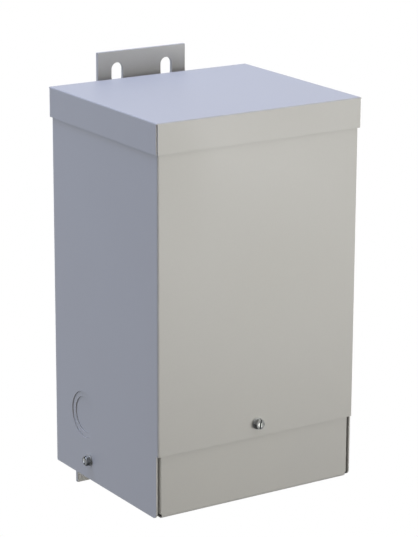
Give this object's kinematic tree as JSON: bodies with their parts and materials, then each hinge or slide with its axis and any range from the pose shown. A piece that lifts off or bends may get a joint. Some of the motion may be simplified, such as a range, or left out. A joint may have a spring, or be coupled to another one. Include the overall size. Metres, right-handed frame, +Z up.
{
  "type": "wall mounted encapsulated transformer",
  "caption": "Box-shaped encapsulated dry transformer in a folded sheet steel enclosure with a flanged lid, a bottom tray, side knockouts and slotted brackets that hang it on a wall.",
  "frame": {"origin": "on the wall face of the upper bracket, midway between its two slots", "axes": "+Y into the wall, +Z up, front towards -Y"},
  "size_m": [0.1446, 0.136, 0.2728],
  "materials": {
    "powder_coat": "satin",
    "zinc_plate": "bright",
    "potting_resin": "matte"
  },
  "bodies": {
    "root": {"lid": "powder_coat", "cover": "powder_coat", "back_panel": "powder_coat", "bottom_tray": "powder_coat", "hanger_bracket": "powder_coat", "foot_bracket": "powder_coat", "left_knockout_ring": "powder_coat", "left_knockout_disc": "powder_coat", "right_knockout_ring": "powder_coat", "right_knockout_disc": "powder_coat", "front_screw": "zinc_plate", "left_screw": "zinc_plate", "right_screw": "zinc_plate", "potted_block": "potting_resin"}
  },
  "joints": []
}
